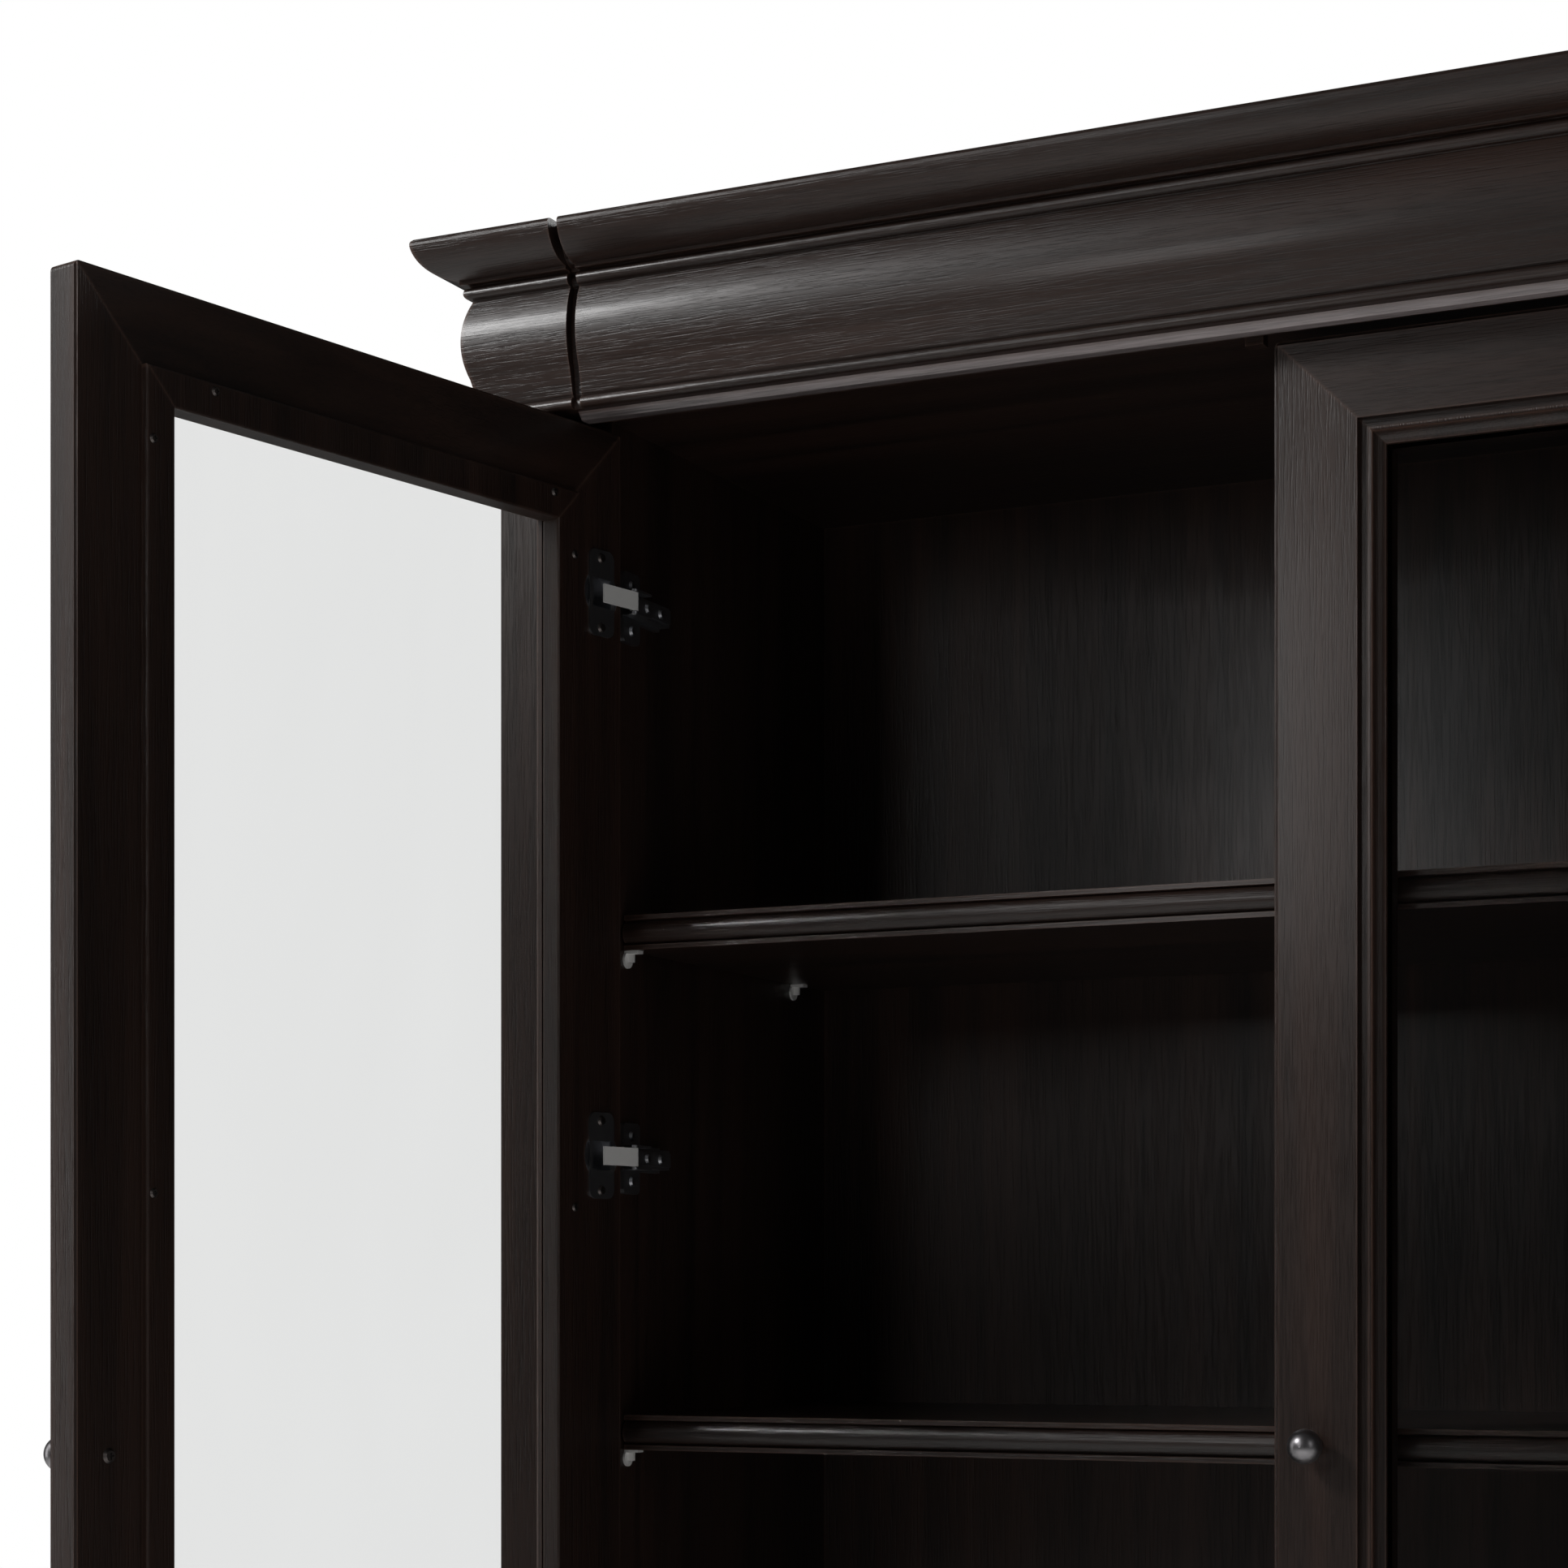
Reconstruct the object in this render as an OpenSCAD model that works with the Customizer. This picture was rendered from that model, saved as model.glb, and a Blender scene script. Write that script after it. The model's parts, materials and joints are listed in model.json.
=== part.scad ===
// Two-door glazed display cabinet, 2.03 m tall, with four shelves and a moulded crown.
// Millimetres. +Z up, +Y to the back. Origin: middle of the footprint, on the floor.

/* [Overall] */
// Width over the corner posts
case_w = 1092; // [1000:1:1250]
// Depth from the face of the posts to the back
case_d = 435; // [400:1:520]
// Height of the plinth
plinth_h = 93; // [60:1:140]
// Underside of the front rail above the floor
soffit_z = 1908; // [1808:100:2008]

/* [Case boards] */
// Thickness of the base deck and the side walls
board_t = 25; // [18:1:30]
// Thickness of the top and ceiling boards
lid_t = 18; // [15:1:25]
// Thickness of the back panel
back_t = 10; // [6:1:12]
// Thickness of the rails behind the back panel
back_rail_t = 18; // [15:1:25]
// Width of a corner post, seen from the front
post_w = 35; // [30:1:35]
// Radius on the edges of the posts
post_r = 2; // [1:0.5:4]

/* [Doors] */
// Width of one door
door_w = 488; // [440:1:560]
// Thickness of a door frame
door_t = 25; // [22:1:28]
// Gap above and below a door
door_gap = 6; // [4:1:8]
// Gap where the doors meet
meet_gap = 2; // [2:0.5:4]
// How far the closed doors sit behind the face of the posts
door_set_back = 25.3; // [20:0.1:30]
// Angle that a door opens to
open_angle = 101.8; // [60:0.1:101.8]
// Diameter of a knob
knob_d = 22; // [18:1:30]
// Height of the knobs above the floor
knob_z = 1209.5; // [900:0.5:1300]

/* [Hinges] */
// Hinges on each door
hinge_n = 5; // [3:1:5]
// Distance from the door's end to the first hinge
hinge_inset = 114; // [80:1:140]
// Diameter of the hinge cup
cup_d = 35; // [26:1:35]

/* [Shelves] */
// Number of shelves
shelf_n = 4; // [3:1:4]
// Thickness of a shelf
shelf_t = 24.5; // [18:0.5:28]
// Top of the highest shelf above the floor
shelf_top_z = 1570.8; // [1560:0.1:1590]
// Distance from one shelf to the next
shelf_pitch = 351.3; // [340:0.1:355]

/* [Crown] */
// Height of the crown above the front rail's underside
crown_h = 121; // [121:1:140]
// Width of the groove beside each corner block
groove_w = 7; // [3:1:10]
// Distance from the case's side to the corner block's inner edge
corner_block = 64; // [50:1:90]

/* [Hidden] */
$fn = 48;

half_w = case_w / 2;
front_y = -case_d / 2;
rear_y = case_d / 2;
door_y = front_y + door_set_back;            // front face of the closed doors
deck_z = plinth_h + board_t;                 // top of the base deck
top_z = soffit_z + crown_h;                  // top of the crown
ceiling_z = soffit_z + 7;                    // underside of the ceiling board

wall_out = half_w - post_w;                  // outer face of the side wall board
wall_in = wall_out - board_t;                // inner face of the side wall board
wall_y = door_y + door_t + 3;                // front edge of the side wall board
back_y = rear_y - back_rail_t - back_t;      // front face of the back panel
post_d = 55.3;                               // depth of a corner post
front_rail_t = 30.4;
groove_floor = 0.6;                          // reach of the crown at the bottom of the groove
end_t = 20;                                  // thickness of the end frame's rails
end_stile_w = 70;
end_rail_h = 80;
end_panel_t = 10;
end_panel_set = 6;                           // how far the end panel sits behind its frame
rear_rail_h = 90;
moulding_out = 14;                           // reach of the base moulding

door_h = soffit_z - deck_z - door_gap - 4;
door_z = deck_z + 4;
door_x = door_w + meet_gap / 2;              // hinged edge of a door, from the middle
pivot_x = door_x - 5.4;                      // axis that a door swings on
pivot_y = door_y + 15.85;
flat_u = 54;                                 // flat width of the door frame
frame_u = 60;                                // whole width of the door frame, with its step
step_y = 5;
bead_u = 70;
glass_y = 12;
glass_t = 4;
rear_bead_u = [50, 72];
rear_bead_t = 5;
bead_mitre_gap = 0.05;                       // from a bead's end to the mitre line
bead_screw_u = 55;
bead_stile_z = [93.5, 538.5];                // bead screws from each end of a stile
bead_rail_x = [76, door_w - 104];            // bead screws along a rail
knob_u = 25;
knob_reach = 27;

cup_u = 22;                                  // cup's centre from the door's edge
cup_deep = 12;
flange_u = [10, 35.4];
flange_h = 59.5;
flange_t = 1.5;
flange_screw_u = 23.5;
flange_screw_z = 24;
plate_t = 4;
plate_y = wall_y + 22;                       // centre of a hinge plate on the wall
arm_t = 10;
arm_y = [plate_y - 14, plate_y + 42];
arm_screw_y = [plate_y + 5, plate_y + 25];
link_x = wall_in - 16;                       // axis that a hinge link swings on
link_y = wall_y + 3;
link_l = 35;
link_t = 1.6;
link_w = 12.8;
pin_r = 1.5;
running = 0.05;                              // clearance of a pin in a link

support_pin_r = 2.5;
support_y = [door_y + 50, door_y + 322.7];
shelf_front_y = door_y + 40;
shelf_gap = 2;
support_pin_l = 8;
fit_gap = 0.1;                               // clearance of a screw or pin in its hole

wood = "#211a18";
nickel = "#b9bcc0";
steel = "#7d8084";
pewter = "#4a474a";

// ---- helpers ----

// Points of a round stretch from a to b that stands s proud to the right of the way
function bow(a, b, s, n = 8) =
  let (d = b - a, c = norm(d), r = (c * c / 4 + s * s) / (2 * abs(s)),
       out = [d[1], -d[0]] / c * sign(s), half = asin(c / 2 / r))
  [for (i = [0 : n]) let (t = -half + 2 * half * i / n)
    a + d / c * (c / 2 + r * sin(t)) + out * (r * cos(t) - r + abs(s))];

function hinge_zs() = [for (i = [0 : hinge_n - 1])
  hinge_inset + i * (door_h - 2 * hinge_inset) / (hinge_n - 1)];

module on(side) {
  if (side == "left") children();
  else mirror([1, 0, 0]) children();
}

module both_sides() {
  children();
  mirror([1, 0, 0]) children();
}

// Box between two corners
module block(low, high) {
  translate(low) cube(high - low);
}

// Post with rounded upright edges, standing between two corners
module rounded_block(low, high, r) {
  size = high - low;
  translate(low) linear_extrude(size[2]) union() {
    translate([r, 0]) square([size[0] - 2 * r, size[1]]);
    translate([0, r]) square([size[0], size[1] - 2 * r]);
    for (x = [r, size[0] - r], y = [r, size[1] - r]) translate([x, y]) circle(r);
  }
}

// Cross-head screw along +Z: the head stands on z = 0 and the shank goes down
module screw(head_r, head_h, shank_r, shank_l) {
  color(steel) difference() {
    union() {
      cylinder(r1 = head_r, r2 = head_r * 0.72, h = head_h);
      translate([0, 0, -shank_l]) cylinder(r = shank_r, h = shank_l + 0.1);
    }
    for (turn = [0, 90]) rotate(turn)
      translate([-head_r * 0.5, -0.35, head_h * 0.45]) cube([head_r, 0.7, head_h]);
  }
}

// ---- base ----

module plinth_front() {
  color(wood) block([-half_w, front_y, 0], [half_w, front_y + board_t, plinth_h]);
}

module plinth_ends() {
  color(wood) both_sides()
    block([-half_w, front_y + board_t, 0], [-half_w + board_t, rear_y - board_t, plinth_h]);
}

module plinth_rear() {
  color(wood) block([-half_w, rear_y - board_t, 0], [half_w, rear_y, plinth_h]);
}

module plinth_bearer() {
  color(wood) block([-board_t / 2, front_y + board_t, 0], [board_t / 2, rear_y - board_t, plinth_h]);
}

module base_deck() {
  color(wood) block([-half_w, front_y, plinth_h], [half_w, rear_y, deck_z]);
}

// Outline of the base moulding: reach and height, with a hollow above a half-round nose
module base_outline() {
  polygon(concat([[0, 0]], bow([moulding_out - 4, 0], [moulding_out - 4, 12], 4),
    bow([moulding_out - 6, 14], [3, board_t - 2], -2.5), [[3, board_t], [0, board_t]]));
}

// Outline of the crown: reach, which part scales, and height above the front rail's underside
module crown_outline(part = 1) {
  points = concat(
    [[0, 0]],
    bow([8.5, 0], [8.5, 8], 4, 14),              // bottom bead
    [[10, 10]],
    bow([14.5, 28], [13, 82], 5.6, 30),          // torus
    bow([13.8, 82.7], [13.8, 91.3], 4.3, 14),    // astragal
    [[15, 92.5], [20, 92.5], [20, 95], [22, 95]],
    bow([22, 95], [44.9, 116], 5.2, 20),         // ovolo
    bow([44.9, 116], [41, 121], 1.5, 4),
    [[41, crown_h], [0, crown_h]]);
  polygon([for (p = points) [p[0] * part, p[1]]]);
}

// A moulding along the front, seen with its outline's reach towards -Y
module along_front(z, x0, x1) {
  translate([x1, front_y, z]) rotate([90, 0, -90]) linear_extrude(x1 - x0) children();
}

// A moulding along the left side, with its outline's reach towards -X
module along_side(z, y0, y1) {
  translate([-half_w, y0, z]) rotate([90, 0, 180]) linear_extrude(y1 - y0) children();
}

// Upright prism that keeps what lies on one side of the left front corner's mitre
module mitre_keep(reach, front) {
  corner = [-half_w, front_y];
  far = corner - [reach, reach];
  translate([0, 0, -1]) linear_extrude(top_z + 2)
    polygon(front
      ? [corner, far, [0, far[1]], [0, front_y]]
      : [corner, far, [far[0], rear_y], [-half_w, rear_y]]);
}

module base_moulding_front() {
  reach = 2 * moulding_out;
  color(wood) intersection() {
    along_front(plinth_h, -half_w - reach, half_w + reach) base_outline();
    union() both_sides() mitre_keep(reach, true);
  }
}

module base_moulding_sides() {
  reach = 2 * moulding_out;
  color(wood) both_sides() intersection() {
    along_side(plinth_h, front_y - reach, rear_y) base_outline();
    mitre_keep(reach, false);
  }
}

// ---- case ----

module post(side) {
  color(wood) on(side) rounded_block([-half_w, front_y, deck_z],
    [-wall_out, front_y + post_d, top_z - lid_t], post_r);
}

module side_wall(side) {
  color(wood) on(side) difference() {
    block([-wall_out, wall_y, deck_z], [-wall_in, rear_y, top_z - lid_t]);
    at_supports() rotate([0, 90, 0])
      translate([0, 0, -support_pin_l - 1]) cylinder(r = support_pin_r + fit_gap, h = 40);
    at_plates() at_plate_screws() translate([0, 0, -18]) cylinder(r = 1.75 + fit_gap, h = 40);
  }
}

module rear_stile(side) {
  color(wood) on(side)
    block([-half_w, rear_y - end_stile_w, deck_z], [-wall_out, rear_y, top_z - lid_t]);
}

module end_rails(side) {
  y0 = front_y + post_d;
  y1 = rear_y - end_stile_w;
  color(wood) on(side) {
    block([-half_w, y0, deck_z], [-half_w + end_t, y1, deck_z + end_rail_h]);
    block([-half_w, y0, soffit_z - end_rail_h], [-half_w + end_t, y1, top_z - lid_t]);
  }
}

module end_panel(side) {
  x = -half_w + end_panel_set;
  color(wood) on(side) block([x, front_y + post_d, deck_z + end_rail_h],
    [x + end_panel_t, rear_y - end_stile_w, soffit_z - end_rail_h]);
}

module ceiling_board() {
  color(wood) block([-wall_in, front_y + front_rail_t, ceiling_z],
    [wall_in, rear_y - back_rail_t, ceiling_z + lid_t]);
}

module front_rail() {
  color(wood) block([-wall_out, front_y, soffit_z],
    [wall_out, front_y + front_rail_t, top_z - lid_t]);
}

module back_panel() {
  color(wood) block([-wall_in, back_y, deck_z], [wall_in, back_y + back_t, ceiling_z]);
}

module rear_rails() {
  gap = (ceiling_z - deck_z - rear_rail_h) / 2;
  color(wood) {
    for (i = [0, 1])
      block([-wall_in, rear_y - back_rail_t, deck_z + i * gap],
        [wall_in, rear_y, deck_z + i * gap + rear_rail_h]);
    block([-wall_in, rear_y - back_rail_t, ceiling_z - rear_rail_h + lid_t],
      [wall_in, rear_y, top_z - lid_t]);
  }
}

module door_stop() {
  color(wood) translate([-19, front_y + front_rail_t, soffit_z - 5]) cube([12, 10, 12]);
}

// ---- crown ----

// Main length, with a low tongue at each end that backs the groove
module crown_front() {
  end = half_w - corner_block - groove_w;
  color(wood) union() {
    along_front(soffit_z, -end, end) crown_outline();
    along_front(soffit_z, -end - groove_w, end + groove_w) crown_outline(groove_floor);
  }
}

module crown_corner(side) {
  reach = 60;
  color(wood) on(side) intersection() {
    along_front(soffit_z, -half_w - reach, -half_w + corner_block) crown_outline();
    mitre_keep(reach, true);
  }
}

module crown_side(side) {
  reach = 60;
  color(wood) on(side) intersection() {
    along_side(soffit_z, front_y - reach, rear_y) crown_outline();
    mitre_keep(reach, false);
  }
}

module crown_top() {
  color(wood) block([-half_w, front_y, top_z - lid_t], [half_w, rear_y, top_z]);
}

// ---- shelves ----

// Outline of a shelf: depth from the nose, and height, with a half-round between fillets
module shelf_outline() {
  depth = back_y - shelf_gap - shelf_front_y;
  polygon(concat(
    [[depth, 0], [2, 0], [2, 3.4], [5, 4.2]],
    [for (p = bow([5, 20.3], [5, 4.2], 5, 20)) [p[0], shelf_t - p[1]]],
    [[5, shelf_t - 4.2], [2, shelf_t - 3.4], [2, shelf_t], [depth, shelf_t]]));
}

module shelf(i) {
  half = wall_in - shelf_gap;
  color(wood) translate([-half, shelf_front_y, shelf_top_z - (i - 1) * shelf_pitch - shelf_t])
    rotate([90, 0, 90]) linear_extrude(2 * half) shelf_outline();
}

// Places on the left wall's face, at the underside of each shelf
module at_supports() {
  for (i = [0 : shelf_n - 1], y = support_y)
    translate([-wall_in, y, shelf_top_z - i * shelf_pitch - shelf_t - 6]) children();
}

// Spoon support: a pin in the wall, a round collar, and a tongue under the shelf
module shelf_supports() {
  color(nickel) both_sides() at_supports() union() {
    rotate([0, 90, 0]) {
      translate([0, 0, -support_pin_l]) cylinder(r = support_pin_r, h = support_pin_l + 1);
      cylinder(r = 6, h = 1.6);
    }
    translate([0, -4, 4]) cube([11, 8, 2]);
    translate([0, -1, -2]) cube([6, 2, 7]);
  }
}

// ---- hinges on the case ----

// Places of the hinges on the left wall's face
module at_plates() {
  for (z = hinge_zs()) translate([-wall_in, plate_y, door_z + z]) children();
}

module at_plate_screws() {
  for (z = [-16, 16]) translate([plate_t, 0, z]) rotate([0, 90, 0]) children();
}

module at_arm_screws() {
  for (y = arm_screw_y) translate([plate_t + arm_t, y - plate_y, 0]) rotate([0, 90, 0]) children();
}

module hinge_plates() {
  color(steel) both_sides() at_plates() difference() {
    union() {
      rotate([90, 0, 90]) linear_extrude(plate_t) union() {
        square([24, 42], center = true);
        square([16, 50], center = true);
        for (y = [-8, 8], z = [-21, 21]) translate([y, z]) circle(4);
      }
      block([0, arm_y[0] - plate_y, -9], [plate_t, arm_y[1] - plate_y, 9]);
    }
    at_plate_screws() translate([0, 0, -9]) cylinder(r = 1.75 + fit_gap, h = 20);
    at_arm_screws() translate([0, 0, -arm_t - 3.5]) cylinder(r = 2 + fit_gap, h = 20);
  }
}

// Arm with two ears in front that hold the link's pin
module hinge_arms() {
  ear_t = 1.6;
  ear_gap = link_w / 2 + 0.5;
  color(steel) both_sides() at_plates() difference() {
    union() {
      block([plate_t, arm_y[0] - plate_y, -ear_gap], [plate_t + arm_t - 2, arm_y[1] - plate_y, ear_gap]);
      block([plate_t, arm_y[0] - plate_y, -5], [plate_t + arm_t, arm_y[1] - plate_y - 2, 5]);
      for (z = [-ear_gap - ear_t, ear_gap]) {
        translate([wall_in - link_x, link_y - plate_y, z]) cylinder(r = 3.4, h = ear_t);
        block([wall_in - link_x - 8, link_y - plate_y, z],
          [wall_in - link_x + 3.4, link_y - plate_y + 20, z + ear_t]);
      }
    }
    at_arm_screws() translate([0, 0, -arm_t - 1]) cylinder(r = 2 + fit_gap, h = 20);
    translate([wall_in - link_x, link_y - plate_y, -20]) cylinder(r = pin_r + running, h = 40);
  }
}

module hinge_pins() {
  pin_l = link_w + 4.2;
  color(nickel) both_sides() for (z = hinge_zs())
    translate([-link_x, link_y, door_z + z - pin_l / 2]) cylinder(r = pin_r, h = pin_l);
}

module hinge_screws() {
  both_sides() at_plates() {
    at_plate_screws() screw(4, 1.8, 1.75, 17);
    at_arm_screws() screw(3.8, 1.6, 2, arm_t + 3);
  }
}

// Link: a knuckle on its pin and a blade that lies along the door
module hinge_links(side) {
  turn = side == "left" ? -open_angle : 0;
  color(nickel) on(side) for (z = hinge_zs())
    translate([-link_x, link_y, door_z + z - link_w / 2]) rotate(turn) difference() {
      union() {
        cylinder(r = 3, h = link_w);
        translate([0, 3 - link_t, 0]) cube([link_l, link_t, link_w]);
      }
      translate([0, 0, -1]) cylinder(r = pin_r + running, h = link_w + 2);
    }
}

// ---- doors ----
// A door is drawn closed on the left: x from its hinged edge, y from its face, z from its foot.

module place_door(side) {
  turn = side == "left" ? -open_angle : 0;
  on(side) translate([-pivot_x, pivot_y, 0]) rotate(turn)
    translate([pivot_x - door_x, door_y - pivot_y, door_z]) children();
}

// Outline of the door frame: u from the door's edge, y from its face
module frame_outline() {
  edge_r = 3;
  polygon(concat(
    [[flat_u, 0], [flat_u, step_y], [frame_u, step_y], [frame_u, door_t]],
    bow([1.5, door_t], [0, door_t - 1.5], -0.44, 4),
    bow([0, edge_r], [edge_r, 0], -0.88, 6)));
}

module front_bead_outline() {
  polygon(concat([[bead_u, glass_y], [frame_u, glass_y]],
    bow([frame_u, 3.5], [63.2, 1.5], -0.7, 4),
    bow([63.2, 1.5], [bead_u, 8.5], -1.7, 8)));
}

module rear_bead_outline() {
  rear = door_t + rear_bead_t;
  seat = frame_u + 0.2;
  lip = 1.5;
  polygon(concat(
    [[seat, glass_y + glass_t], [rear_bead_u[1], glass_y + glass_t]],
    bow([rear_bead_u[1], rear - lip], [rear_bead_u[1] - lip, rear], 0.44, 4),
    bow([rear_bead_u[0] + lip, rear], [rear_bead_u[0], rear - lip], 0.44, 4),
    [[rear_bead_u[0], door_t], [seat, door_t]]));
}

// An outline run up the left edge for a length, with its ends cut at 45 degrees, gap short of the mitre
module mitred(length, gap) {
  wide = 80;
  corner_r = 4;
  intersection() {
    linear_extrude(length) children();
    translate([0, 60, 0]) rotate([90, 0, 0]) linear_extrude(120) intersection() {
      polygon([[0, gap], [wide, wide + gap], [wide, length - wide - gap], [0, length - gap]]);
      union() {
        translate([corner_r, 0]) square([wide, length]);
        translate([0, corner_r]) square([wide, length - 2 * corner_r]);
        for (z = [corner_r, length - corner_r]) translate([corner_r, z]) circle(corner_r);
      }
    }
  }
}

// The same outline on each edge of the door
module on_edge(edge, gap = 0) {
  if (edge == "hinge") mitred(door_h, gap) children();
  if (edge == "free") translate([door_w, 0, 0]) mirror([1, 0, 0]) mitred(door_h, gap) children();
  if (edge == "bottom") mirror([1, 0, -1]) mitred(door_w, gap) children();
  if (edge == "top")
    translate([0, 0, door_h]) mirror([0, 0, 1]) mirror([1, 0, -1]) mitred(door_w, gap) children();
}

// Places of the screws in the rear beads, heads towards the inside
module at_bead_screws() {
  rear = door_t + rear_bead_t;
  for (x = [bead_screw_u, door_w - bead_screw_u],
       z = concat(bead_stile_z, [for (z = bead_stile_z) door_h - z]))
    translate([x, rear, z]) rotate([-90, 0, 0]) children();
  for (x = bead_rail_x, z = [bead_screw_u, door_h - bead_screw_u])
    translate([x, rear, z]) rotate([-90, 0, 0]) children();
}

module at_flange_screws() {
  for (z = hinge_zs(), side = [-1, 1])
    translate([flange_screw_u, door_t + flange_t, z + side * flange_screw_z])
      rotate([-90, 0, 0]) children();
}

module at_knob() {
  translate([door_w - knob_u, 0, knob_z - door_z]) children();
}

module bead_holes() {
  at_bead_screws() translate([0, 0, -19]) cylinder(r = 1.5 + fit_gap, h = 30, $fn = 24);
}

module stile_hinge(side) {
  color(wood) place_door(side) difference() {
    on_edge("hinge") frame_outline();
    for (z = hinge_zs()) translate([cup_u, door_t + 1, z]) rotate([90, 0, 0])
      cylinder(r = cup_d / 2 + fit_gap, h = cup_deep + 1.1);
    at_flange_screws() translate([0, 0, -14]) cylinder(r = 1.5 + fit_gap, h = 30, $fn = 24);
    bead_holes();
  }
}

module stile_free(side) {
  color(wood) place_door(side) difference() {
    on_edge("free") frame_outline();
    at_knob() translate([0, -5, 0]) rotate([-90, 0, 0]) cylinder(r = 2 + fit_gap, h = 40);
    bead_holes();
  }
}

module door_rail(side, edge) {
  color(wood) place_door(side) difference() {
    on_edge(edge) frame_outline();
    bead_holes();
  }
}

module glass(side) {
  low = frame_u + 0.5;
  color("#dfe8e8", 0.3) place_door(side)
    block([low, glass_y, low], [door_w - low, glass_y + glass_t, door_h - low]);
}

module front_beads(side) {
  color(wood) place_door(side)
    for (edge = ["hinge", "free", "top", "bottom"]) on_edge(edge, bead_mitre_gap) front_bead_outline();
}

module rear_beads(side) {
  color(wood) place_door(side) difference() {
    for (edge = ["hinge", "free", "top", "bottom"]) on_edge(edge, bead_mitre_gap) rear_bead_outline();
    bead_holes();
  }
}

module door_screws(side) {
  place_door(side) {
    at_bead_screws() screw(3, 1.4, 1.5, 18);
    at_flange_screws() screw(3.6, 1.6, 1.5, 13);
    at_knob() translate([0, door_t, 0]) rotate([-90, 0, 0]) screw(4.5, 2, 2, door_t + 11);
  }
}

// Ball knob on a short neck, bored for its screw
module knob(side) {
  r = knob_d / 2;
  color(pewter) place_door(side) at_knob() rotate([90, 0, 0]) difference() {
    union() {
      cylinder(r = 7, h = 1.4);
      translate([0, 0, 1.4]) cylinder(r1 = 7, r2 = 4.4, h = 1.4);
      cylinder(r = 4.4, h = knob_reach - r);
      translate([0, 0, knob_reach - r]) sphere(r, $fn = 64);
    }
    translate([0, 0, -1]) cylinder(r = 2 + fit_gap, h = 14);
  }
}

module hinge_cups(side) {
  r = cup_d / 2;
  wall = 1.2;
  color(steel) place_door(side) for (z = hinge_zs()) translate([0, 0, z]) difference() {
    union() {
      translate([cup_u, door_t - cup_deep, 0]) rotate([-90, 0, 0]) cylinder(r = r, h = cup_deep);
      translate([0, door_t + flange_t, 0]) rotate([90, 0, 0]) linear_extrude(flange_t) union() {
        translate([flange_u[0], -flange_h / 2 + 6]) square([flange_u[1] - flange_u[0], flange_h - 12]);
        translate([flange_u[0] + 6, -flange_h / 2]) square([flange_u[1] - flange_u[0] - 12, flange_h]);
        for (u = [flange_u[0] + 6, flange_u[1] - 6], y = [-flange_h / 2 + 6, flange_h / 2 - 6])
          translate([u, y]) circle(6);
      }
    }
    translate([cup_u, door_t - cup_deep + wall, 0]) rotate([-90, 0, 0])
      cylinder(r = r - wall, h = cup_deep - wall);
    block([flange_u[0] + 3, door_t - 1, -10], [flange_u[1] - 3, door_t + 5, 10]);
    for (side = [-1, 1]) translate([flange_screw_u, door_t, side * flange_screw_z])
      rotate([-90, 0, 0]) translate([0, 0, -1]) cylinder(r = 1.5 + fit_gap, h = 5, $fn = 24);
  }
}

plinth_front();
plinth_ends();
plinth_rear();
plinth_bearer();
base_deck();
base_moulding_front();
base_moulding_sides();
ceiling_board();
front_rail();
back_panel();
rear_rails();
crown_front();
crown_top();
shelf_supports();
door_stop();
hinge_plates();
hinge_arms();
hinge_pins();
hinge_screws();
for (i = [1 : shelf_n]) {
  shelf(i);
}
for (side = ["left", "right"]) {
  post(side);
  side_wall(side);
  rear_stile(side);
  end_panel(side);
  end_rails(side);
  crown_corner(side);
  crown_side(side);
  hinge_links(side);
  stile_hinge(side);
  stile_free(side);
  door_rail(side, "top");
  door_rail(side, "bottom");
  glass(side);
  front_beads(side);
  rear_beads(side);
  door_screws(side);
  knob(side);
  hinge_cups(side);
}
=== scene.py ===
import bpy, bmesh, json, math
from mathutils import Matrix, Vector


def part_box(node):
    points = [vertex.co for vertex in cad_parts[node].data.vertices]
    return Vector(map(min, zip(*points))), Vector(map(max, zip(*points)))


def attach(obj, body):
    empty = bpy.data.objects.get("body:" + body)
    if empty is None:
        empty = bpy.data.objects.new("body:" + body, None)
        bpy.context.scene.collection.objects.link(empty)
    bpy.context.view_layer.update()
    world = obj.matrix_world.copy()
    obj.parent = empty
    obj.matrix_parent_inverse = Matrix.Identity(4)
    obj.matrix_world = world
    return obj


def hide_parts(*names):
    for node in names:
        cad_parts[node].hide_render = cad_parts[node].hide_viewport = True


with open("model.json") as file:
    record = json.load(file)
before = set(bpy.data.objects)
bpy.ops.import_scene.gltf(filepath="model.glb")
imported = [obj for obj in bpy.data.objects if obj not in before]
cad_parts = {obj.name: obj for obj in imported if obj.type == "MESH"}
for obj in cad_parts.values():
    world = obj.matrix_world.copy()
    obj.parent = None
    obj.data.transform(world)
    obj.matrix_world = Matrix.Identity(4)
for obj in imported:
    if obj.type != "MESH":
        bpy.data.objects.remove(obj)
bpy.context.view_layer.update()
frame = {"nodes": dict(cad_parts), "record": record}
print("frame loaded:", len(frame["nodes"]), "nodes")


# ---- shader maths ----

class Wire:
    def __init__(self, graph, socket):
        self.graph, self.socket = graph, socket

    def combine(self, kind, a, b):
        return self.graph.node("ShaderNodeMath", {"operation": kind}, {0: a, 1: b})

    def __add__(self, other):
        return self.combine("ADD", self, other)

    def __radd__(self, other):
        return self.combine("ADD", other, self)

    def __mul__(self, other):
        return self.combine("MULTIPLY", self, other)


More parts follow.
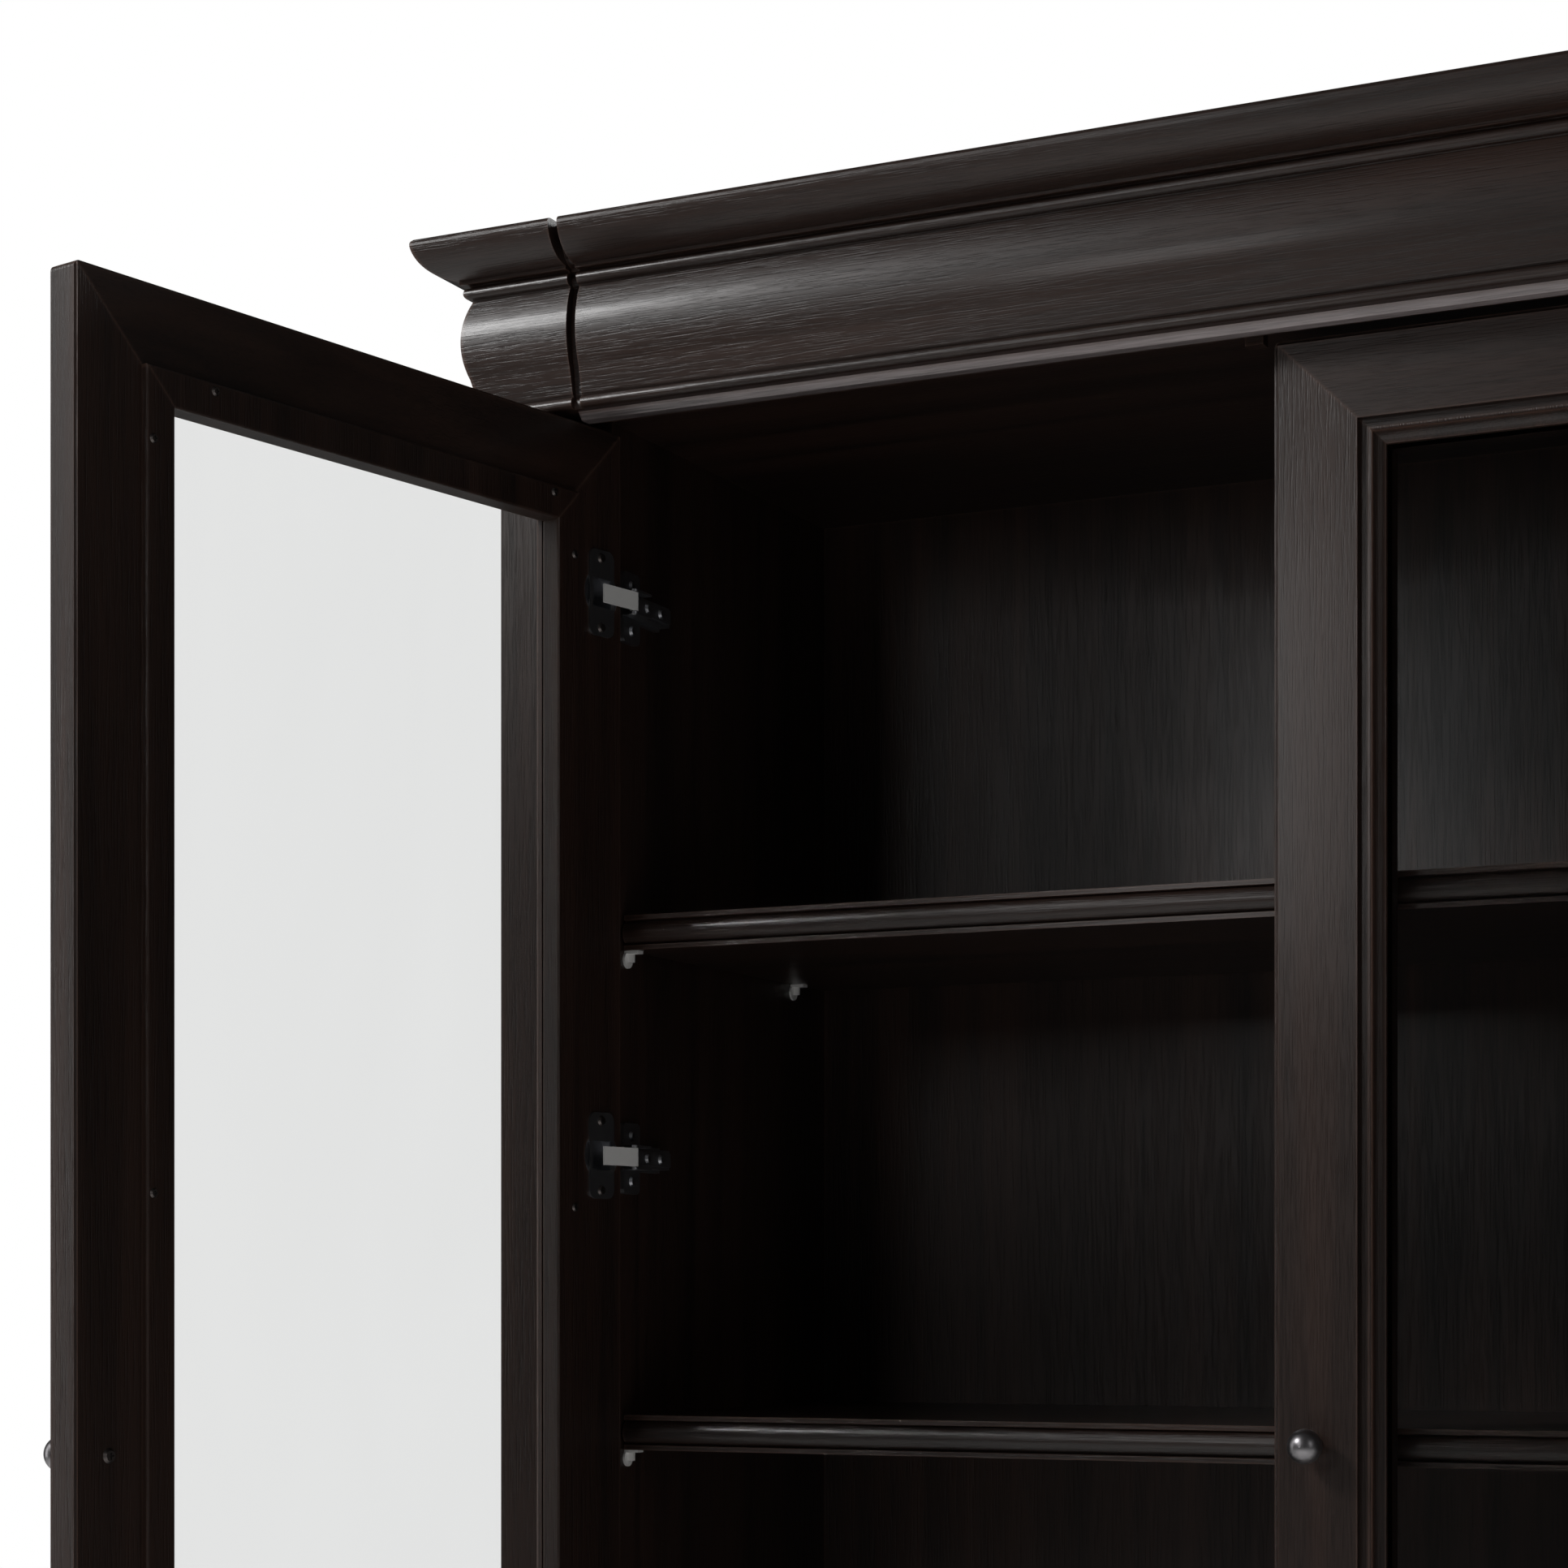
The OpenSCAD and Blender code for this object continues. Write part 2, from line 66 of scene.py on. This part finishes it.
class Finish:
    def __init__(self, name):
        self.material = bpy.data.materials.new(name)
        self.material.use_nodes = True
        self.nodes = self.material.node_tree.nodes
        self.links = self.material.node_tree.links
        self.shader = self.nodes["Principled BSDF"]

    def feed(self, socket, value):
        if isinstance(value, Wire):
            self.links.new(value.socket, socket)
        else:
            socket.default_value = value

    def node(self, kind, settings=None, inputs=None, out=0):
        made = self.nodes.new(kind)
        for key, value in (settings or {}).items():
            if key == "stops":
                for stop, (place, colour) in zip(made.color_ramp.elements, value):
                    stop.position, stop.color = place, colour
            else:
                setattr(made, key, value)
        for key, value in (inputs or {}).items():
            self.feed(made.inputs[key], value)
        return Wire(self, made.outputs[out])

    def place(self, scale):
        spot = self.node("ShaderNodeTexCoord", out="Object")
        return self.node("ShaderNodeMapping", None, {"Vector": spot, "Scale": scale})

    def noise(self, scale, detail=4.0, size=1.0, warp=0.0):
        return self.node("ShaderNodeTexNoise", None, {
            "Vector": self.place(scale), "Scale": size, "Detail": detail, "Distortion": warp})

    def mixColour(self, factor, first, second):
        return self.node("ShaderNodeMix", {"data_type": "RGBA"}, {0: factor, 6: first, 7: second}, out=2)

    def spread(self, value, low, high):
        return self.node("ShaderNodeMapRange", None, {"Value": value, "From Min": low, "From Max": high})

    def set(self, **values):
        for key, value in values.items():
            self.feed(self.shader.inputs[key.replace("_", " ")], value)

    def bump(self, height, depth, strength=1.0):
        self.set(Normal=self.node("ShaderNodeBump", None, {
            "Height": height, "Distance": depth, "Strength": strength}))


woodLook = {
    "dark": (0.0060, 0.0038, 0.0032, 1.0),      # pore and shade of the espresso stain
    "light": (0.0330, 0.0168, 0.0120, 1.0),     # reddish brown between the pores
    "poresAcross": 900.0,                       # pores to a metre, across the grain
    "figureAcross": 38.0,
    "stretch": 0.035,                           # length of the grain against its width
    "gloss": 0.27,
    "rubbedHighlightWidth": 0.0020,                         # width of the lighter line along an outer edge, partly rubbed wear and partly painted highlight
    "rubbedHighlightColour": (0.110, 0.062, 0.046, 1.0),
}


# Espresso-stained wood under satin lacquer, with its grain along one axis
def espressoWood(name, along, tone=(1.0, 1.0, 1.0), polish=0.10):
    look = woodLook
    finish = Finish(name)

    def grainScale(across):
        return tuple(across * (look["stretch"] if axis == along else 1.0) for axis in "XYZ")

    figure = finish.noise(grainScale(look["figureAcross"]), 6.0, warp=0.6)
    pores = finish.noise(grainScale(look["poresAcross"]), 3.0)
    cloud = finish.noise((3.0, 3.0, 3.0), 2.0)
    fine = finish.noise((2600.0, 2600.0, 2600.0), 1.0)
    streak = finish.spread(figure * 0.65 + pores * 0.35, 0.36, 0.66)
    colour = finish.mixColour(streak * 0.75 + cloud * 0.25, look["dark"],
                              tuple(c * t for c, t in zip(look["light"], tone)) + (1.0,))
    # Lighter colour along outer edges: partly rubbed wear, partly a painted highlight on the rounded arrises
    edge = finish.node("ShaderNodeAmbientOcclusion", {"inside": True, "only_local": True, "samples": 4},
                       {"Distance": look["rubbedHighlightWidth"]}, out="AO")
    rubbedAndHighlit = finish.spread(edge, 0.92, 0.35) * (cloud * 0.5 + pores * 0.4)
    colour = finish.mixColour(rubbedAndHighlit, colour, look["rubbedHighlightColour"])
    finish.set(Base_Color=colour,
               Roughness=look["gloss"] + pores * 0.12 + cloud * 0.08,
               Coat_Weight=polish + cloud * 0.10,
               Coat_Roughness=0.16, Specular_IOR_Level=0.36)
    pit = finish.spread(pores, 0.30, 0.52)
    finish.bump(pit * 0.6 + figure * 0.3 + fine * 0.1, 0.00030, 0.7)
    return finish.material


glassLook = {
    "tint": (0.76, 0.765, 0.762, 1.0),
    "clearer": (0.79, 0.795, 0.792, 1.0),
    "haze": 0.03,
    "index": 1.14,                              # low, for weak reflections
}


def clearGlass():
    finish = Finish("clearGlass")
    look = glassLook
    wipe = finish.noise((9.0, 9.0, 2.5), 5.0, warp=1.2)
    finish.set(Base_Color=finish.mixColour(wipe, look["tint"], look["clearer"]),
               Roughness=finish.spread(wipe, 0.5, 1.0) * look["haze"],
               Transmission_Weight=1.0, IOR=look["index"])
    return finish.material


# Plated or polished metal with fine rub marks and a little dulling
def platedMetal(name, colour, shade, rough, marks, metallic=1.0):
    finish = Finish(name)
    rub = finish.noise((140.0, 900.0, 900.0), 3.0)
    dull = finish.noise((60.0, 60.0, 60.0), 4.0)
    finish.set(Base_Color=finish.mixColour(dull, colour, shade), Metallic=metallic,
               Roughness=rough + dull * 0.10 + rub * marks)
    finish.bump(rub, 0.00004, 0.35)
    return finish.material


finishes = {
    "X": espressoWood("woodGrainAcross", "X"),
    "Y": espressoWood("woodGrainDeep", "Y"),
    "Z": espressoWood("woodGrainUp", "Z"),
    "inside": espressoWood("woodInsideBack", "Z", (1.35, 1.35, 1.35)),
    # The strip's pale colour is painted light: the crown's downward face is lightened to stand in for light
    # from the floor below
    "strip": espressoWood("woodStripPaintedLit", "X", (12.0, 20.0, 28.0), 0.9),
    "glass": clearGlass(),
    "nickel": platedMetal("brightNickel", (0.92, 0.91, 0.89, 1), (0.84, 0.83, 0.82, 1), 0.30, 0.12, 0.2),
    "screws": platedMetal("darkSteel", (0.16, 0.14, 0.13, 1), (0.08, 0.07, 0.07, 1), 0.30, 0.12),
    "steel": platedMetal("zincSteel", (0.42, 0.43, 0.45, 1), (0.27, 0.27, 0.29, 1), 0.24, 0.16),
    "pewter": platedMetal("darkPewter", (0.34, 0.33, 0.34, 1), (0.20, 0.19, 0.20, 1), 0.24, 0.08),
}

grainByName = {
    "X": ["plinth_front", "plinth_rear", "base_deck", "base_moulding_front", "front_rail", "rear_rails",
          "crown_front", "crown_top", "crown_corner", "shelf_", "ceiling_board", "rail_top_right",
          "rail_bottom_right", "door_stop"],
    "Y": ["plinth_ends", "plinth_bearer", "base_moulding_sides", "crown_side", "end_rails",
          "rail_top_left", "rail_bottom_left"],
    "inside": ["back_panel"],
}
slotOf = {part["node"]: part["material_slot"] for part in frame["record"]["subparts"]}
for name, node in frame["nodes"].items():
    key = "screws" if name.startswith("door_screws") else slotOf[name]
    if key == "wood":
        key = next((k for k, starts in grainByName.items() if name.startswith(tuple(starts))), "Z")
    node.data.materials.clear()
    node.data.materials.append(finishes[key])
print("finishes made")


# ---- pieces ----

def addPiece(name, mesh, material, body="case"):
    piece = bpy.data.objects.new(name, mesh)
    bpy.context.collection.objects.link(piece)
    mesh.materials.clear()
    mesh.materials.append(material)
    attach(piece, body)
    return piece


screwSizes = {
    "rows": 5,                                   # hinges up a side wall
    "taper": 0.72,                               # top of the head against its foot
    "headRadius": 0.004,
    "headHeight": 0.0018,
    "slotWidth": 0.0008,
    "wingOffset": 0.016,                         # wing screws above and below the arm
    "plateHalf": 0.025,
    "plateAhead": 0.014,                         # from the arm's front end to the plate's middle
    "armScrews": (0.019, 0.039),                 # from the arm's front end
    "plateThick": 0.004,
    "armProud": 0.014,
}


# One cross-head screw at each point, its head turned along the point's own direction
def screwTree():
    tree = bpy.data.node_groups.new("placedScrews", "GeometryNodeTree")
    face = tree.interface
    face.new_socket("Geometry", in_out="INPUT", socket_type="NodeSocketGeometry")
    for name, value in (("Head radius", 0.003), ("Head height", 0.001), ("Slot width", 0.0005)):
        face.new_socket(name, in_out="INPUT", socket_type="NodeSocketFloat").default_value = value
    face.new_socket("Material", in_out="INPUT", socket_type="NodeSocketMaterial")
    face.new_socket("Geometry", in_out="OUTPUT", socket_type="NodeSocketGeometry")

    def add(kind, settings=None, **inputs):
        node = tree.nodes.new(kind)
        for key, value in (settings or {}).items():
            setattr(node, key, value)
        for key, value in inputs.items():
            socket = node.inputs[key.replace("_", " ")]
            if isinstance(value, bpy.types.NodeSocket):
                tree.links.new(value, socket)
            else:
                socket.default_value = value
        return node

    group = add("NodeGroupInput").outputs
    tip = add("ShaderNodeMath", {"operation": "MULTIPLY"})
    tree.links.new(group["Head radius"], tip.inputs[0])
    tip.inputs[1].default_value = screwSizes["taper"]
    head = add("GeometryNodeMeshCone", Vertices=32, Radius_Top=tip.outputs[0],
               Radius_Bottom=group["Head radius"], Depth=group["Head height"])
    size = add("ShaderNodeCombineXYZ", X=group["Head radius"], Y=group["Slot width"], Z=group["Head height"])
    bar = add("GeometryNodeMeshCube", Size=size.outputs[0])
    lift = add("ShaderNodeCombineXYZ", Z=group["Head height"])
    slots = add("GeometryNodeJoinGeometry")
    for turn in (0.0, math.pi / 2):
        moved = add("GeometryNodeTransform", Geometry=bar.outputs["Mesh"],
                    Translation=lift.outputs[0], Rotation=(0.0, 0.0, turn))
        tree.links.new(moved.outputs[0], slots.inputs[0])
    cut = add("GeometryNodeMeshBoolean", {"operation": "DIFFERENCE"})
    tree.links.new(head.outputs["Mesh"], cut.inputs["Mesh 1"])
    tree.links.new(slots.outputs[0], cut.inputs["Mesh 2"])
    facing = add("GeometryNodeInputNamedAttribute", {"data_type": "FLOAT_VECTOR"}, Name="facing")
    turned = add("FunctionNodeAlignRotationToVector", {"axis": "Z"}, Vector=facing.outputs[0])
    placed = add("GeometryNodeInstanceOnPoints", Points=group["Geometry"],
                 Instance=cut.outputs["Mesh"], Rotation=turned.outputs[0])
    real = add("GeometryNodeRealizeInstances", Geometry=placed.outputs[0])
    dressed = add("GeometryNodeSetMaterial", Geometry=real.outputs[0], Material=group["Material"])
    tree.links.new(dressed.outputs[0], add("NodeGroupOutput").inputs[0])
    return tree


# Screws that hold the hinge plates and arms to the side walls
def makeHingeScrews():
    sizes = screwSizes
    low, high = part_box("hinge_plates")
    first, last = low[2] + sizes["plateHalf"], high[2] - sizes["plateHalf"]
    points, facings = [], []
    for side in (-1, 1):
        wall = high[0] * side
        for i in range(sizes["rows"]):
            z = first + (last - first) * i / (sizes["rows"] - 1)
            for offset in (-sizes["wingOffset"], sizes["wingOffset"]):
                points.append((wall - side * sizes["plateThick"], low[1] + sizes["plateAhead"], z + offset))
            for ahead in sizes["armScrews"]:
                points.append((wall - side * sizes["armProud"], low[1] + ahead, z))
        facings += [(-side, 0.0, 0.0)] * (len(points) - len(facings))
    mesh = bpy.data.meshes.new("screwPoints")
    mesh.from_pydata(points, [], [])
    attribute = mesh.attributes.new("facing", "FLOAT_VECTOR", "POINT")
    for item, way in zip(attribute.data, facings):
        item.vector = way
    source = bpy.data.objects.new("screwPoints", mesh)
    bpy.context.collection.objects.link(source)
    modifier = source.modifiers.new("screws", "NODES")
    modifier.node_group = tree = screwTree()
    given = {"Head radius": sizes["headRadius"], "Head height": sizes["headHeight"],
             "Slot width": sizes["slotWidth"], "Material": finishes["steel"]}
    for item in tree.interface.items_tree:
        if item.in_out == "INPUT" and item.name in given:
            modifier[item.identifier] = given[item.name]
    done = bpy.data.meshes.new_from_object(source.evaluated_get(bpy.context.evaluated_depsgraph_get()))
    source.modifiers.remove(modifier)
    bpy.data.objects.remove(source)
    piece = addPiece("hingeScrewHeads", done, finishes["steel"])
    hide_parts("hinge_screws")


stripSizes = {"ahead": 0.002, "drop": 0.005, "back": 0.003, "depth": 0.012}


# Bevelled strip under the crown, between the corner blocks
def makeSoffitStrip():
    sizes = stripSizes
    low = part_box("front_rail")[0]
    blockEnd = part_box("crown_corner_left")[1][0]
    front, top = low[1], low[2]
    section = [(front - sizes["ahead"], top), (front + sizes["back"], top - sizes["drop"]),
               (front + sizes["depth"], top - sizes["drop"]), (front + sizes["depth"], top)]
    points = [(x, y, z) for x in (blockEnd, -blockEnd) for y, z in section]
    faces = [(0, 3, 2, 1), (4, 5, 6, 7)] + [(i, (i + 1) % 4, 4 + (i + 1) % 4, 4 + i) for i in range(4)]
    mesh = bpy.data.meshes.new("soffitStrip")
    mesh.from_pydata(points, [], faces)
    bm = bmesh.new()
    bm.from_mesh(mesh)
    bmesh.ops.recalc_face_normals(bm, faces=bm.faces)
    bm.to_mesh(mesh)
    bm.free()
    # Its pale finish is painted floor light on the crown's underside
    addPiece("soffitStrip", mesh, finishes["strip"])


makeHingeScrews()
makeSoffitStrip()
print("pieces made")


# ---- floor, light and camera ----

studio = {
    "floorRadius": 5.5,
    "floorSides": 64,
    "floorGlow": 0.36,
    "backdrop": 1.0,                             # what shows behind the cabinet and through its glass
    "ambient": 0.044,                             # what its surfaces pick up all round
    "lights": {                                  # place, size, power
        "highSoftbox": ((-2.05, -2.3, 3.3), (0.7, 0.6), 58.0),
        "frontSoftbox": ((-0.88, -2.75, 2.1), (0.36, 0.6), 4.0),
        "leftSoftbox": ((-3.0, -1.2, 1.8), (0.8, 2.2), 11.0),
        "rightSoftbox": ((2.9, -2.0, 2.4), (0.9, 2.0), 5.0),
        "lowSoftbox": ((0.1, -1.5, 0.3), (1.8, 0.6), 1.0),
        "backSoftbox": ((0.8, 3.2, 2.6), (2.4, 1.6), 60.0),
    },
}


def makeFloor():
    mesh = bpy.data.meshes.new("floor")
    radius, sides = studio["floorRadius"], studio["floorSides"]
    turns = [math.tau * t / sides for t in range(sides)]
    ring = [(radius * math.cos(t), radius * math.sin(t), 0.0) for t in turns]
    mesh.from_pydata(ring, [], [list(range(sides))])
    floor = bpy.data.objects.new("floor", mesh)
    bpy.context.collection.objects.link(floor)
    finish = Finish("paleFloor")
    grain = finish.noise((14.0, 14.0, 14.0), 4.0)
    finish.set(Base_Color=finish.mixColour(grain, (0.80, 0.80, 0.79, 1), (0.84, 0.84, 0.83, 1)),
               Roughness=0.6,
               Emission_Color=(0.9, 0.9, 0.89, 1.0), Emission_Strength=studio["floorGlow"])
    mesh.materials.append(finish.material)


def makeLight(name, place, size, power):
    light = bpy.data.lights.new(name, "AREA")
    light.shape = "RECTANGLE"
    light.size, light.size_y, light.energy = size[0], size[1], power
    lamp = bpy.data.objects.new(name, light)
    lamp.location = place
    aim = Vector((0.0, 0.0, 1.5 if place[2] > 1 else 1.9)) - Vector(place)
    lamp.rotation_euler = aim.to_track_quat("-Z", "Y").to_euler()
    bpy.context.collection.objects.link(lamp)


def makeWorld():
    world = bpy.data.worlds.new("paleRoom")
    world.use_nodes = True
    tree = world.node_tree
    sky = tree.nodes["Background"]
    path = tree.nodes.new("ShaderNodeLightPath")
    seen = tree.nodes.new("ShaderNodeMath")
    seen.operation = "MAXIMUM"                   # seen straight, or through the glass
    bounced = tree.nodes.new("ShaderNodeMath")
    bounced.operation = "ADD"
    first = tree.nodes.new("ShaderNodeMath")
    first.operation = "LESS_THAN"                # no bounce off a surface yet
    both = tree.nodes.new("ShaderNodeMath")
    both.operation = "MULTIPLY"
    level = tree.nodes.new("ShaderNodeMapRange")
    level.inputs["To Min"].default_value = studio["ambient"]
    level.inputs["To Max"].default_value = studio["backdrop"]
    tree.links.new(path.outputs["Is Camera Ray"], seen.inputs[0])
    tree.links.new(path.outputs["Is Transmission Ray"], seen.inputs[1])
    tree.links.new(path.outputs["Diffuse Depth"], bounced.inputs[0])
    tree.links.new(path.outputs["Glossy Depth"], bounced.inputs[1])
    tree.links.new(bounced.outputs[0], first.inputs[0])
    tree.links.new(seen.outputs[0], both.inputs[0])
    tree.links.new(first.outputs[0], both.inputs[1])
    tree.links.new(both.outputs[0], level.inputs["Value"])
    tree.links.new(level.outputs[0], sky.inputs["Strength"])
    sky.inputs["Color"].default_value = (1.0, 1.0, 1.0, 1.0)
    bpy.context.scene.world = world
    bpy.context.scene.view_settings.view_transform = "Standard"


def makeCamera():
    camera = bpy.data.cameras.new("camera")
    camera.lens, camera.sensor_width = 75.0, 36.0
    camera.shift_x, camera.shift_y = 0.0035, 0.3285     # upright lines stay upright
    camera.clip_start = 0.05
    view = bpy.data.objects.new("camera", camera)
    view.location = (0.608, -2.175, 1.301)
    view.rotation_euler = (math.radians(90), 0.0, math.radians(25.63))
    bpy.context.collection.objects.link(view)
    bpy.context.scene.camera = view


makeFloor()
makeWorld()
for lightName, (place, size, power) in studio["lights"].items():
    makeLight(lightName, place, size, power)
makeCamera()
print("studio set")
